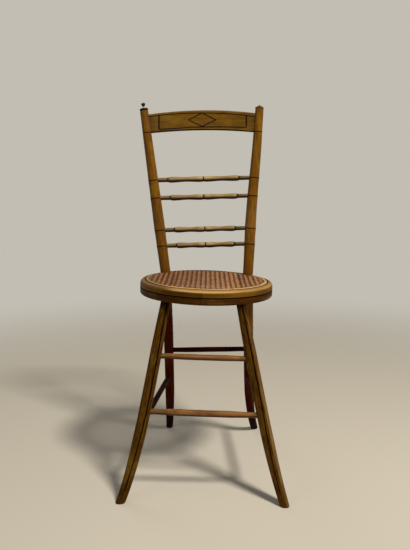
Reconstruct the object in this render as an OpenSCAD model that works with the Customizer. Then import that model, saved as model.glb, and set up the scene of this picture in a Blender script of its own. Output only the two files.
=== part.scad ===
// Child's high chair: a round cane seat on four splayed sabre legs, with a raked back of
// turned, bamboo-style rods under a bowed crest rail. All joints are glued round tenons.
// Millimetres. +Z is up, the chair faces -Y, and left and right are as seen from the front.
// The origin is on the floor, midway between the four feet.

/* [Seat] */
// Diameter of the round seat frame
seat_d = 345; // [336:1:354]
// Thickness of the seat frame
seat_t = 36.5; // [34:0.5:42]
// Height of the seat's top above the floor, at its middle
seat_h = 500; // [470:1:530]
// Width of the wooden seat frame, from its rim to the opening under the cane
ring_w = 37; // [34:1:40]
// Radius of the rounding at the top of the rim
rim_top_r = 10; // [6:1:14]
// Radius of the rounding at the bottom of the rim
rim_under_r = 6; // [4:1:14]
// Diameter of the dowels that join the four pieces of the frame
dowel_d = 8; // [6:1:9]
// Length of each of those dowels
dowel_len = 36; // [24:1:44]

/* [Cane] */
// Distance from the rim to the middle of the cane binder
binder_inset = 18.5; // [17:0.5:20]
// Width of the binder strip
binder_w = 6; // [4:0.5:7]
// Height of the binder above the frame
binder_t = 2.2; // [1.6:0.1:3]
// Thickness of the woven cane
cane_t = 1.8; // [1.2:0.1:2.4]
// Spacing of the gaps in the cane
cane_pitch = 14; // [14:0.5:18]
// Width of each gap in the cane
cane_gap = 8.4; // [6:0.2:9]

/* [Back] */
// Height of the tops of the back posts above the seat
back_h = 453; // [430:1:480]
// Direction of each post's foot from the middle of the seat, from straight sideways
post_angle = 42.25; // [38:0.25:46]
// Half the distance between the post tops
post_top_x = 159.6; // [150:0.2:170]
// Distance of the post tops behind the middle of the seat
post_top_y = 157.7; // [140:0.1:175]
// Post diameter at the seat
post_foot_d = 27.5; // [24:0.5:29]
// Post diameter at its fullest
post_belly_d = 30; // [26:0.5:32]
// Post diameter at the top
post_top_d = 22.5; // [21:0.5:24]
// Diameter of the tenon at the foot of a post
post_tenon_d = 16; // [12:0.5:18]
// Depth of the painted ring grooves
groove = 0.8; // [0.4:0.1:1.2]
// Swelling of posts at the ring grooves
post_swell = 0.5; // [0:0.1:1]

/* [Crest rail] */
// Distance of the crest rail's lower edge below the post tops
crest_drop = 68.5; // [64:0.5:90]
// Height of the crest rail at the posts, along the rake
crest_h = 52.6; // [44:0.2:56]
// Rise of the rail's lower edge at its middle
crest_low_arch = 12; // [0:0.5:14]
// Rise of the rail's upper edge at its middle
crest_top_arch = 14.5; // [4:0.5:18]
// Distance that the rail bows backward at its middle
crest_bow = 22; // [12:1:32]
// Thickness of the rail
crest_t = 12; // [9:0.5:14]
// Thickness of the tongue at each end of the rail
tongue_t = 7; // [5:0.5:8]
// Distance of the tongue's edges from the rail's edges
tongue_inset = 9; // [6:0.5:12]

/* [Back rods] */
// Height of the top rod above the seat
rod_top_h = 260; // [250:1:270]
// Height of the upper rod above the seat
rod_upper_h = 211; // [195:1:220]
// Height of the lower rod above the seat
rod_lower_h = 123; // [115:1:140]
// Height of the bottom rod above the seat
rod_bottom_h = 80; // [60:1:88]
// Rod diameter at its ends
rod_end_d = 12; // [8:0.5:13]
// Rod diameter where it swells beside a node
rod_swell_d = 16; // [13:0.5:17]
// Rod diameter at the waist between nodes
rod_waist_d = 13; // [10:0.5:14]
// Distance from a post to the first node
rod_end_len = 28; // [20:1:36]
// Distance from a node to the fullest place beside it
rod_swell_at = 9; // [6:1:14]

/* [Finials] */
// Diameter of the turned bud
bud_d = 11.6; // [8:0.2:14]
// Height of the bud
bud_h = 11; // [8:0.5:14]
// Height of the neck under the bud
neck_h = 5; // [3:0.5:8]
// Diameter of the neck at the post
neck_d = 11; // [9:0.5:13]
// Diameter of the low cap left on the other post
stub_d = 17; // [12:0.5:18]
// Height of that cap with its broken pin
stub_h = 8; // [5:0.5:10]
// Diameter of the pegs under the finials
peg_d = 5; // [4:0.5:6]
// Length of those pegs
peg_len = 10; // [6:1:14]

/* [Legs] */
// Direction of the front legs' tops from the middle of the seat, from straight sideways
front_leg_angle = 53.25; // [49:0.25:56]
// Direction of the rear legs' tops from the middle of the seat, from straight sideways
rear_leg_angle = 42.5; // [38:0.5:46]
// Half the distance between the front feet
front_foot_x = 195; // [180:1:210]
// Distance of the front feet in front of the middle
front_foot_y = 246.6; // [230:0.2:262]
// Half the distance between the rear feet
rear_foot_x = 131; // [122:1:140]
// Distance of the rear feet behind the middle
rear_foot_y = 249.3; // [230:0.1:262]
// Share of a front leg's spread that its curved foot takes
front_curl = 0.14; // [0.05:0.005:0.3]
// Share of a rear leg's sideways spread that its curved foot takes
rear_side_curl = 0.9; // [0.5:0.05:1]
// Share of a rear leg's backward spread that its curved foot takes
rear_curl = 0.35; // [0.1:0.05:0.5]
// How late the legs curve, with larger values nearer the floor
curl_power = 5; // [3:0.5:7]
// Front leg diameter under the seat
front_top_d = 23; // [21:0.5:26]
// Front leg diameter at its fullest
front_mid_d = 28.5; // [25:0.5:30]
// Front leg diameter at the floor
front_foot_d = 22; // [19:0.5:25]
// Rear leg diameter under the seat
rear_top_d = 23; // [20:0.5:25]
// Rear leg diameter at its fullest
rear_mid_d = 26.5; // [23:0.5:28]
// Rear leg diameter at the floor
rear_foot_d = 20.5; // [17:0.5:23]
// Squareness of the legs, 2 for round
leg_square = 2.5; // [2:0.1:3.2]
// Diameter of the tenons at the tops of the legs
leg_tenon_d = 15; // [12:0.5:17]
// Depth of the tenons of posts and legs in the seat frame
tenon_len = 16; // [10:0.5:16.5]

/* [Rungs] */
// Height of the upper front rung, the child's footrest
front_upper_z = 333; // [310:1:350]
// Height of the lower front rung
front_lower_z = 202; // [200:1:230]
// Height of the rear rung
rear_rung_z = 274.5; // [250:0.5:300]
// Height of the side rungs at the front legs
side_rung_front_z = 176; // [150:1:179]
// Height of the side rungs at the rear legs
side_rung_rear_z = 190; // [170:1:240]
// Diameter of the front rungs' ends
front_rung_end_d = 13.5; // [10:0.5:14]
// Diameter of the upper front rung at its middle
front_upper_d = 15.5; // [13:0.5:16]
// Diameter of the lower front rung at its middle
front_lower_d = 17; // [13:0.5:18]
// Diameter of the rear and side rungs' ends
rear_rung_end_d = 13.5; // [9:0.5:14]
// Diameter of the rear and side rungs at their middles
rear_rung_d = 14.5; // [11:0.5:16]

/* [Fit] */
// Clearance round tenons, pegs and dowels in their sockets
fit_gap = 0.1; // [0.05:0.05:0.2]
// Distance from the axis of a leg or post to the end of a rung or rod in it
end_inset = 1; // [0:0.5:3]

/* [Age] */
// Sideways tilt of the seat in degrees, its right side lower
seat_tilt = 1.9; // [0:0.1:2.5]
// Sideways shift of the seat to the right
seat_shift = 1; // [0:0.5:2]
// Sideways shift of the back's foot to the left
back_shift = 4.5; // [0:0.5:6]
// Sideways lean of the back's top to the left
back_lean = 19.2; // [0:0.2:24]
// Sideways shift of the front feet to the right
front_shift = 1.5; // [0:0.5:4]
// Sideways shift of the rear feet to the right
rear_shift = 1; // [0:0.5:3]
// How far the front legs' bends differ, the left one's foot taking more of its spread
front_skew = 0.025; // [0:0.005:0.05]
// How far the rear legs' bends differ, the right one's foot taking more of its spread
rear_skew = 0.2; // [0:0.05:0.3]
// Turn of the rear legs' tops about the middle of the seat, in degrees
rear_turn = 0.5; // [0:0.1:1]
// Rise of the back rods towards the right
rod_rise = 6; // [0:0.5:8]
// Drop of the front rungs towards the right
front_rung_drop = 6; // [0:0.5:8]
// Rise of the rear rung towards the right
rear_rung_rise = 5.5; // [0:0.5:8]

/* [Hidden] */
left = -1;
right = 1;
$fn = 48;
smooth = 144;          // sides of the large circles of the seat
seat_r = seat_d / 2;
mid_r = seat_r - ring_w / 2;
post_h = seat_h + back_h;
crest_z = post_h - crest_drop;
ochre = "#8a6420";
dark_wood = "#4a2412";
worn_wood = "#a0683a";
cane_colour = "#c09a6a";
socket_extra = 0.5;    // a socket is this much deeper than its tenon
groove_half = 1.2;     // half the width of a ring groove
swell_reach = 18;      // length over which a post swells towards a groove
saddle = 6;            // how far a post's foot reaches down over the rim
cap_ring = 6;          // distance of the highest ring groove below a post's top
crest_ring = 1.5;      // height of a post's ring groove over the crest rail's lower edge
tenon_root = 4;        // how far a tenon starts inside its leg or post
rung_grip = 20;        // straight length at each end of a rung
rung_taper = 0.6;      // share of half a rung's length over which it swells
past = 20;             // how far a cutting shape runs on past what it cuts
sides = 20;            // points round a leg's section
rings = 16;            // sections down a leg

// Moves its children to the seat's own level, tilted with it, with z = 0 on its top
module on_seat() {
    translate([seat_shift, 0, seat_h]) rotate([0, seat_tilt, 0]) children();
}

// Lays its children's z axis from p towards q
module along(p, q) {
    d = q - p;
    translate(p) rotate([0, acos(d[2] / norm(d)), atan2(d[1], d[0])]) children();
}

// Height of the plane that lies depth below the seat's top, over a point x to the right
function seat_level(x, depth = 0) =
    seat_h - (x - seat_shift) * tan(seat_tilt) - depth / cos(seat_tilt);

// Eased step from a to b while u goes from 0 to 1
function ease(a, b, u) = a + (b - a) * (1 - cos(180 * u)) / 2;

// Points of an arc from angle a to angle b
function arc(centre, r, a, b, steps) =
    [for (i = [0:steps]) let (t = a + (b - a) * i / steps) centre + r * [cos(t), sin(t)]];

// Posts

function post_foot(side) =
    let (x = side * mid_r * cos(post_angle) - back_shift)
    [x, mid_r * sin(post_angle), seat_level(x)];
function post_top(side) = [side * post_top_x - back_lean, post_top_y, post_h];
// Point on a post's axis at height z
function post_at(side, z) =
    let (p = post_foot(side), q = post_top(side)) p + (q - p) * (z - p[2]) / (q[2] - p[2]);
function post_len(side) = norm(post_top(side) - post_foot(side));
// Post radius at share u of its length
function post_r(u) =
    lookup(u, [[0, post_foot_d / 2], [0.3, post_belly_d / 2], [1, post_top_d / 2]]);

rod_heights = [rod_bottom_h, rod_lower_h, rod_upper_h, rod_top_h];
// Point on a post's axis where the rod at height h over the seat ends
function rod_end(side, h) = post_at(side, seat_h + h + side * rod_rise / 2);

// Outline of a groove at s along a post of length len, swollen on both sides by swell
function groove_points(s, len, swell) = [
    [post_r((s - swell_reach) / len), s - swell_reach],
    [post_r(s / len) + swell, s - groove_half],
    [post_r(s / len) - groove, s],
    [post_r(s / len) + swell, s + groove_half],
    [post_r((s + swell_reach) / len), s + swell_reach]];

// Outline of a post from its foot, which reaches below the seat's top, to its cap ring
function post_outline(side) =
    let (len = post_len(side), base = post_foot(side), r = post_top_d / 2)
    concat(
        [[0, -saddle], [post_foot_d / 2, -saddle], [post_foot_d / 2, 0]],
        [for (h = rod_heights) each
            groove_points(norm(rod_end(side, h) - base), len, post_swell)],
        groove_points(norm(post_at(side, crest_z + crest_ring) - base), len, 0),
        [[r, len - cap_ring - groove_half], [r - groove, len - cap_ring],
         [r, len - cap_ring + groove_half], [r, len - 1], [r - 1, len], [0, len]]);

module post_tenon(side, gap = 0, extra = 0) {
    base = post_foot(side);
    along(base, 2 * base - post_top(side))
        translate([0, 0, -tenon_root])
            cylinder(d = post_tenon_d + 2 * gap, h = tenon_root + tenon_len + extra);
}

module post(side) {
    base = post_foot(side);
    top = post_top(side);
    difference() {
        along(base, top) rotate_extrude() polygon(post_outline(side));
        seat_disc();
        for (h = rod_heights) rod_socket(h);
        crest_tongue(fit_gap);
        along(top, base) translate([0, 0, -1]) cylinder(d = peg_d + 2 * fit_gap, h = peg_len + 2);
    }
    post_tenon(side);
}

module left_post() { color(ochre) post(left); }
module right_post() { color(ochre) post(right); }

// Crest rail

rake = atan((post_top_y - post_foot(left)[1]) / (post_h - seat_h));
crest_left = post_at(left, crest_z);
crest_right = post_at(right, crest_z);
crest_half = (crest_right[0] - crest_left[0]) / 2;
crest_r = (crest_half * crest_half + crest_bow * crest_bow) / (2 * crest_bow);

// Moves its children to the rail's own frame: x along it, z up its rake, y backward
module on_crest() {
    translate((crest_left + crest_right) / 2) rotate([-rake, 0, 0]) children();
}

// Height of an arched edge at x, over its ends at the posts
function arch(rise, x) = rise * (1 - pow(x / crest_half, 2));

// Bowed board of thickness t between two arched edges, reaching half to each side
module crest_board(t, half, low, high) {
    a = asin(half / crest_r);
    centre = [0, crest_bow - crest_r];
    steps = 24;
    xs = [for (i = [0:steps]) half * (2 * i / steps - 1)];
    intersection() {
        linear_extrude(height = crest_h + crest_top_arch + 1)
            polygon(concat(arc(centre, crest_r + t / 2, 90 + a, 90 - a, steps),
                           arc(centre, crest_r - t / 2, 90 - a, 90 + a, steps)));
        rotate([90, 0, 0])
            linear_extrude(height = 4 * (crest_bow + crest_t), center = true)
                polygon(concat(
                    [for (x = xs) [x, low + arch(crest_low_arch, x)]],
                    [for (x = xs) [-x, high + arch(crest_top_arch, x)]]));
    }
}

module crest_tongue(gap = 0) {
    on_crest() crest_board(tongue_t + 2 * gap, crest_half - end_inset + gap,
                           tongue_inset - gap, crest_h - tongue_inset + gap);
}

module crest_rail() {
    post_clear = post_r((crest_z - seat_h) / (post_h - seat_h)) + fit_gap;
    color(ochre) {
        difference() {
            on_crest() crest_board(crest_t, crest_half - end_inset, 0, crest_h);
            for (side = [left, right])
                along(post_at(side, crest_z - past), post_top(side))
                    cylinder(r = post_clear, h = crest_drop + 2 * past);
        }
        crest_tongue();
    }
}

// Back rods

// Outline of one rod of length len, whose ends go sink deep into the posts
function rod_outline(len, sink) =
    let (node_s = sink + rod_end_len, mid = len / 2, steps = 6,
         r_end = rod_end_d / 2, r_node = (rod_waist_d + rod_swell_d) / 4,
         r_swell = rod_swell_d / 2, r_waist = rod_waist_d / 2,
         waist_s = (node_s + mid) / 2,
         knots = [[r_end, 0], [r_end, sink + 4], [r_end + groove / 2, node_s - groove_half],
                  [r_end, node_s], [r_node, node_s + groove_half],
                  [r_swell, node_s + rod_swell_at], [r_waist, waist_s],
                  [r_swell, mid - rod_swell_at], [r_node, mid - groove_half]],
         half = concat([knots[0]],
                       [for (k = [1:len(knots) - 1]) let (a = knots[k - 1], b = knots[k],
                           n = b[1] - a[1] > 6 && b[0] != a[0] ? steps : 1)
                           for (i = [1:n]) [ease(a[0], b[0], i / n), a[1] + (b[1] - a[1]) * i / n]]))
    concat([[0, 0]], half, [[r_node - groove, mid]],
           [for (i = [len(half) - 1:-1:0]) [half[i][0], len - half[i][1]]], [[0, len]]);

module rod(h) {
    p = rod_end(left, h);
    q = rod_end(right, h);
    len = norm(q - p) - 2 * end_inset;
    sink = post_belly_d / 2 - end_inset;
    color("#a8843c") along(p, q) translate([0, 0, end_inset])
        rotate_extrude() polygon(rod_outline(len, sink));
}

module rod_socket(h) {
    p = rod_end(left, h);
    q = rod_end(right, h);
    len = norm(q - p) - 2 * end_inset + 2 * socket_extra;
    along(p, q) translate([0, 0, end_inset - socket_extra])
        cylinder(d = rod_end_d + 2 * fit_gap, h = len);
}

module top_rod() { rod(rod_top_h); }
module upper_rod() { rod(rod_upper_h); }
module lower_rod() { rod(rod_lower_h); }
module bottom_rod() { rod(rod_bottom_h); }

// Finials

// Puts its children on top of a post, with z along the post
module on_post(side) {
    along(post_top(side), 2 * post_top(side) - post_foot(side)) children();
}

// A bud that is fullest above its middle, on a cone-shaped neck over its peg
module left_finial() {
    steps = 12;
    neck_lip = 0.8;
    bud = [for (i = [0:steps - 1]) let (u = i / steps)
        [bud_d / 2 * sin(22 + 158 * pow(u, 1.3)), neck_h + bud_h * u]];
    color("#3a2412") on_post(left) rotate_extrude()
        polygon(concat([[0, -peg_len], [peg_d / 2, -peg_len], [peg_d / 2, 0], [neck_d / 2, 0],
                        [neck_d / 2, neck_lip]], bud, [[0, neck_h + bud_h]]));
}

// A low dome with the short broken pin of its lost bud, over its peg
module right_finial_stub() {
    dome_h = stub_h / 2;
    dome = [for (i = [0:6]) let (t = 15 * i) [stub_d / 2 * cos(t), dome_h * sin(t)]];
    pin_r = peg_d / 2;
    color(ochre) on_post(right) rotate_extrude()
        polygon(concat([[0, -peg_len], [pin_r, -peg_len], [pin_r, 0]],
                       [for (p = dome) if (p[0] > pin_r) p],
                       [[pin_r, dome_h], [pin_r, stub_h - 1], [pin_r - 1, stub_h], [0, stub_h]]));
}

// Seat frame

// Section of the seat frame: flat top and bottom, a straight inner wall and a rounded rim
function ring_section(inner_r = seat_r - ring_w) = concat(
    [[inner_r, 0], [inner_r, -seat_t]],
    arc([seat_r - rim_under_r, rim_under_r - seat_t], rim_under_r, -90, 0, 6),
    arc([seat_r - rim_top_r, -rim_top_r], rim_top_r, 0, 90, 8));

// The seat frame's outline as a full disc, with no opening
module seat_disc() {
    on_seat() rotate_extrude($fn = smooth) polygon(ring_section(0));
}

module dowels(gap = 0, extra = 0) {
    len = dowel_len + 2 * extra;
    on_seat() for (turn = [0:90:270], depth = [0.3, 0.7])
        rotate([0, 0, turn]) translate([mid_r, 0, -seat_t * depth]) rotate([90, 0, 0])
            cylinder(d = dowel_d + 2 * gap, h = len, center = true);
}

// One quarter of the seat frame, from angle turn on, with its sockets
module seat_rail(turn) {
    difference() {
        on_seat() rotate([0, 0, turn]) rotate_extrude(angle = 90, $fn = smooth)
            polygon(ring_section());
        dowels(fit_gap, socket_extra);
        for (side = [left, right]) {
            post_tenon(side, fit_gap, socket_extra);
            leg_tenon(front_leg(side), fit_gap, socket_extra);
            leg_tenon(rear_leg(side), fit_gap, socket_extra);
        }
    }
}

module seat_rail_rear_right() { color(ochre) seat_rail(0); }
module seat_rail_rear_left() { color(ochre) seat_rail(90); }
module seat_rail_front_left() { color(ochre) seat_rail(180); }
module seat_rail_front_right() { color(ochre) seat_rail(270); }
module seat_dowels() { color(worn_wood) dowels(); }

// Cane

binder_r = seat_r - binder_inset;
panel_r = binder_r - binder_w / 2 - fit_gap;

// Cuts the room that the posts' feet take on the frame
module post_room() {
    for (side = [left, right])
        along(post_foot(side) * 2 - post_top(side), post_top(side))
            cylinder(d = post_belly_d + 1, h = 2 * post_len(side));
}

module cane_binder() {
    color(cane_colour) difference() {
        on_seat() rotate_extrude($fn = smooth)
            polygon([for (t = [0:20:180]) [binder_r + binder_w / 2 * cos(t), binder_t * sin(t)]]);
        post_room();
    }
}

// The woven seat as a flat net of square gaps over the opening
module cane_panel() {
    reach = seat_r - ring_w - 2 - cane_gap * sqrt(0.5);
    count = ceil(reach / cane_pitch);
    color(cane_colour) difference() {
        on_seat() linear_extrude(height = cane_t) difference() {
            circle(r = panel_r, $fn = smooth);
            for (i = [-count:count], j = [-count:count])
                if (norm([i, j]) * cane_pitch < reach)
                    translate([i, j] * cane_pitch) square(cane_gap, center = true);
        }
        post_room();
    }
}

// Legs. A leg is held as [top, foot, curl of x, curl of y, diameters from top to foot].

function leg_top(side, angle) =
    let (x = side * mid_r * cos(angle), y = mid_r * sin(angle)) [x, y, seat_level(x, seat_t)];
function front_leg(side) = let (p = leg_top(side, front_leg_angle)) [
    [p[0], -p[1], p[2]], [side * front_foot_x + front_shift, -front_foot_y, 0],
    front_curl - side * front_skew, front_curl, [front_top_d, front_mid_d, front_foot_d]];
function rear_leg(side) = [
    leg_top(side, rear_leg_angle + side * rear_turn),
    [side * rear_foot_x + rear_shift, rear_foot_y, 0],
    rear_side_curl + side * rear_skew, rear_curl, [rear_top_d, rear_mid_d, rear_foot_d]];

// Share of the way out at fall t, of which curl is left to the curved foot
function swing(curl, t) = (1 - curl) * t + curl * pow(t, curl_power);
// Point on a leg's axis at fall t, 0 at the seat and 1 at the floor
function leg_point(leg, t) =
    let (a = leg[0], d = leg[1] - leg[0])
    a + [d[0] * swing(leg[2], t), d[1] * swing(leg[3], t), d[2] * t];
function leg_at(leg, z) = leg_point(leg, 1 - z / leg[0][2]);
function unit(v) = v / norm(v);
function leg_dir(leg, t) = unit(leg_point(leg, t + 0.01) - leg_point(leg, t - 0.01));
// Radius of a leg at fall t, fullest from a quarter to seven tenths of the way down
function leg_r(leg, t) =
    lookup(t, [[0, leg[4][0]], [0.25, leg[4][1]], [0.7, leg[4][1]], [1, leg[4][2]]]) / 2;
// Cosine and sine bent towards a square
function bent(c) = sign(c) * pow(abs(c), 2 / leg_square);

// Point of a leg's skin: its section square to the axis, slid along the axis to a level plane
// that follows the seat's underside at the top and the floor at the bottom
function skin_point(leg, t, angle) =
    let (p = leg_point(leg, t), dir = leg_dir(leg, t),
         u = unit([1, 0, 0] - dir * dir[0]), v = cross(dir, u),
         q = p + leg_r(leg, t) * (u * bent(cos(angle)) + v * bent(sin(angle))),
         slope = t == 0 ? tan(seat_tilt) : 0,
         fall = (p[2] - q[2] - slope * (q[0] - p[0])) / (dir[2] + slope * dir[0]))
    q + dir * fall;

module leg_skin(leg) {
    points = [for (i = [0:rings], j = [0:sides - 1]) skin_point(leg, i / rings, 360 * j / sides)];
    walls = [for (i = [0:rings - 1], j = [0:sides - 1])
        let (a = i * sides + j, b = i * sides + (j + 1) % sides, c = a + sides, d = b + sides)
        each [[a, c, b], [b, c, d]]];
    top = [for (j = [0:sides - 1]) j];
    sole = [for (j = [sides - 1:-1:0]) rings * sides + j];
    polyhedron(points = points, faces = concat([top], walls, [sole]));
}

module leg_tenon(leg, gap = 0, extra = 0) {
    along(leg[0], leg[0] - leg_dir(leg, 0.01))
        translate([0, 0, -tenon_root])
            cylinder(d = leg_tenon_d + 2 * gap, h = tenon_root + tenon_len + extra);
}

module leg(shape, side) {
    difference() {
        leg_skin(shape);
        front_rungs(fit_gap, socket_extra);
        rear_rung_solid(fit_gap, socket_extra);
        side_rung(side, fit_gap, socket_extra);
    }
    leg_tenon(shape);
}

module front_left_leg() { color("#6a5018") leg(front_leg(left), left); }
module front_right_leg() { color("#6a5018") leg(front_leg(right), right); }
module rear_left_leg() { color(dark_wood) leg(rear_leg(left), left); }
module rear_right_leg() { color(dark_wood) leg(rear_leg(right), right); }

// Rungs

// A rung from p to q that swells from end_d to mid_d, or its socket where gap is not 0
module rung(p, q, end_d, mid_d, gap = 0, extra = 0) {
    len = norm(q - p) - 2 * end_inset;
    steps = 20;
    along(p, q) translate([0, 0, end_inset]) {
        if (gap > 0)
            for (s = [-extra, len - rung_grip])
                translate([0, 0, s]) cylinder(d = end_d + 2 * gap, h = rung_grip + extra);
        else
            rotate_extrude() polygon(concat([[0, 0], [end_d / 2, 0]],
                [for (i = [0:steps]) let (u = i / steps, from_end = 1 - abs(2 * u - 1))
                    [ease(end_d, mid_d, min(1, from_end / rung_taper)) / 2,
                     rung_grip + (len - 2 * rung_grip) * u]],
                [[end_d / 2, len], [0, len]]));
    }
}

module front_rung(z, mid_d, gap = 0, extra = 0) {
    rung(leg_at(front_leg(left), z + front_rung_drop / 2),
         leg_at(front_leg(right), z - front_rung_drop / 2),
         front_rung_end_d, mid_d, gap, extra);
}

module front_rungs(gap, extra) {
    front_rung(front_upper_z, front_upper_d, gap, extra);
    front_rung(front_lower_z, front_lower_d, gap, extra);
}

module rear_rung_solid(gap = 0, extra = 0) {
    rung(leg_at(rear_leg(left), rear_rung_z - rear_rung_rise / 2),
         leg_at(rear_leg(right), rear_rung_z + rear_rung_rise / 2),
         rear_rung_end_d, rear_rung_d, gap, extra);
}

module side_rung(side, gap = 0, extra = 0) {
    rung(leg_at(front_leg(side), side_rung_front_z), leg_at(rear_leg(side), side_rung_rear_z),
         rear_rung_end_d, rear_rung_d, gap, extra);
}

module front_upper_rung() { color(worn_wood) front_rung(front_upper_z, front_upper_d); }
module front_lower_rung() { color(worn_wood) front_rung(front_lower_z, front_lower_d); }
module rear_rung() { color(dark_wood) rear_rung_solid(); }
module left_rung() { color(dark_wood) side_rung(left); }
module right_rung() { color(dark_wood) side_rung(right); }

seat_rail_front_left();
seat_rail_front_right();
seat_rail_rear_left();
seat_rail_rear_right();
seat_dowels();
cane_panel();
cane_binder();
left_post();
right_post();
crest_rail();
top_rod();
upper_rod();
lower_rod();
bottom_rod();
left_finial();
right_finial_stub();
front_left_leg();
front_right_leg();
rear_left_leg();
rear_right_leg();
front_upper_rung();
front_lower_rung();
rear_rung();
left_rung();
right_rung();
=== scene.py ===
"""A child's high chair: old ochre paint, a round cane seat and a back turned like bamboo.

Every piece is a surface worked out on arrays of numbers. A turned piece is an outline carried
round a line, a leg or a rail is a section carried along a path, and the cane is a set of flat
strands that go over and under each other by a formula. All sizes are millimetres. +Z is up, the
chair faces -Y, and left and right are as seen from the front.

A piece also carries measures at its points, such as how far each point is from a painted line.
The finishes read them, so paint and wear follow the wood.
"""

import math

import bpy
import numpy as np
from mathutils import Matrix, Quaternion


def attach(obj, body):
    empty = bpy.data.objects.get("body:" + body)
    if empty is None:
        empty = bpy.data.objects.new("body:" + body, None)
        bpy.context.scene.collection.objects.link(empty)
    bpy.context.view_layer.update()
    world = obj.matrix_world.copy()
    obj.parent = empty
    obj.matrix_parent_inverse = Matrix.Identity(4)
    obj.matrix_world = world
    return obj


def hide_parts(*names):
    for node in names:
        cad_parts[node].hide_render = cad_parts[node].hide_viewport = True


MM = 0.001
LEFT, RIGHT = -1, 1

# Seat
SEAT_R = 172.5
SEAT_T = 36.5
SEAT_H = 500.0
SEAT_TILT = math.radians(1.9)
SEAT_SHIFT = 1.0
OPENING_R = 135.5
RIM_TOP_R = 10.0
RIM_UNDER_R = 6.0
LIP_R = 1.5
RAIL_INSET = 0.12
FOOT_CIRCLE_R = 154.0
TOP_LINE_R = 159.6
RIM_LINE_DEPTH = 18.2

# Back
POST_ANGLE = math.radians(42.25)
POST_TOP_X = 159.6
POST_TOP_Y = 157.7
POST_TOP_Z = 953.0
BACK_SHIFT = 4.5
BACK_LEAN = 19.2
POST_WARP = 2.6
POST_SADDLE = 6.0
POST_RADII = (13.75, 15.0, 11.25)
POST_RADII_AT = (0, 0.3, 1)
POST_CAP = 5.8
POST_CAP_ROUND = 2.4
ROD_HEIGHTS = (260.0, 211.0, 123.0, 80.0)
ROD_NAMES = ("top_rod", "upper_rod", "lower_rod", "bottom_rod")
ROD_RISE = 6.0
CREST_Z = 884.5
CREST_RING_Z = 886.0
CREST_H = 52.6
CREST_LOW_ARCH = 12.0
CREST_TOP_ARCH = 14.5
CREST_BOW = 22.0
CREST_T = 12.0
CREST_TOP_ROUND = 4.0
CREST_LOW_ROUND = 2.4
PANEL_LEFT = -121.5
PANEL_RIGHT = 122.5

# Legs: angle of the top on its circle, foot, curl of x and y, and radii under the seat, at its
# fullest and at the floor. Age has set the left ones a little apart from the right ones.
CURL_POWER = 5.0
SQUARENESS = 2.5
FOOT_ROUND = 1.5
FRONT_RADII = (11.5, 14.25, 11.0)
REAR_RADII = (11.5, 13.25, 10.25)
FRONT_LEG = {
    LEFT: (math.radians(-53.25), (-193.5, -246.6), (0.165, 0.14), FRONT_RADII),
    RIGHT: (math.radians(-53.25), (196.5, -246.6), (0.115, 0.14), FRONT_RADII),
}
REAR_LEG = {
    LEFT: (math.radians(42.0), (-130.0, 249.3), (0.7, 0.35), REAR_RADII),
    RIGHT: (math.radians(43.0), (132.0, 249.3), (1.1, 0.35), REAR_RADII),
}

# Rungs: radius at the ends, and heights of the left and right end, or of the front and rear one
RUNG_END_R = 6.75
UPPER_RUNG_Z = (336.0, 330.0)
LOWER_RUNG_Z = (205.0, 199.0)
REAR_RUNG_Z = (271.75, 277.25)
SIDE_RUNG_Z = (176.0, 190.0)

# Cane. Slanting strands go over and under within SLANT_REACH of the weave's middle, measured
# sideways, and run straight beyond it.
PITCH = 12.58
WEAVE_TURN = math.radians(3.0)
WEAVE_SHIFT = 4.7
STRAND_W = 2.35
STRAND_T = 0.8
PAIR = 1.35
PAIRS_EACH_WAY = 13
SLANTS_EACH_WAY = 18
SLANT_REACH = 6.5 * PITCH
END_DROP = 2.4
SEAT_SAG = 3.0
BINDER_R = 154.0
BINDER_HALF_W = 3.0
POST_CLEARANCE = 13.5

# Floor and camera, in metres and radians
FLOOR_R = 3.0
FLOOR_POINTS = 64
CAMERA_PLACE = (0.1008, -1.7613, 0.7779)
CAMERA_PAN = 0.0587
CAMERA_TILT = -0.1494
CAMERA_ROLL = -0.0058
CAMERA_LENS = 44.64


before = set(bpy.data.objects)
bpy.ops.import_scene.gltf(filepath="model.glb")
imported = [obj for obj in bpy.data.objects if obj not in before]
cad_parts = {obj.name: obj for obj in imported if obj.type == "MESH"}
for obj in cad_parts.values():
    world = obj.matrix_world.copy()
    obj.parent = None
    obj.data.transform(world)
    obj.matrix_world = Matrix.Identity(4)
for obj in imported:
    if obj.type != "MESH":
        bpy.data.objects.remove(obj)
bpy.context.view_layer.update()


# Surfaces

class Shell:
    """A closed surface: sections one after another, and a point in the middle of each end.

    points has the shape (sections, round, 3). Each measure has the shape (sections, round) or
    (sections, round, 3). Going round a section turns right-handed about the way the sections go.
    """

    def __init__(self, points, tips=None, **measures):
        self.points = points
        self.tips = np.array([points[0].mean(0), points[-1].mean(0)]) if tips is None else tips
        self.measures = measures

    def corners(self):
        return np.concatenate([self.points.reshape(-1, 3), self.tips])

    def quads(self):
        """Corner numbers of the walls: (i, j), (i, j + 1), (i + 1, j + 1), (i + 1, j)."""
        sections, count = self.points.shape[:2]
        i = np.arange(sections - 1)[:, None] * count
        j = np.arange(count)[None, :]
        k = (j + 1) % count
        return np.stack([i + j, i + k, i + count + k, i + count + j], -1).reshape(-1, 4)

    def fans(self):
        """Corner numbers of the ends: triangles from the end's middle point to its section."""
        sections, count = self.points.shape[:2]
        j = np.arange(count)
        k = (j + 1) % count
        last = (sections - 1) * count
        first_tip = np.full(count, sections * count)
        start = np.stack([first_tip, k, j], -1)
        end = np.stack([first_tip + 1, last + j, last + k], -1)
        return np.concatenate([start, end])

    def measure(self, name):
        values = self.measures[name]
        ends = np.stack([values[0].mean(0), values[-1].mean(0)])
        return np.concatenate([values.reshape((-1,) + values.shape[2:]), ends])


def add_object(name, data):
    added = bpy.data.objects.new(name, data)
    bpy.context.scene.collection.objects.link(added)
    return added


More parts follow.
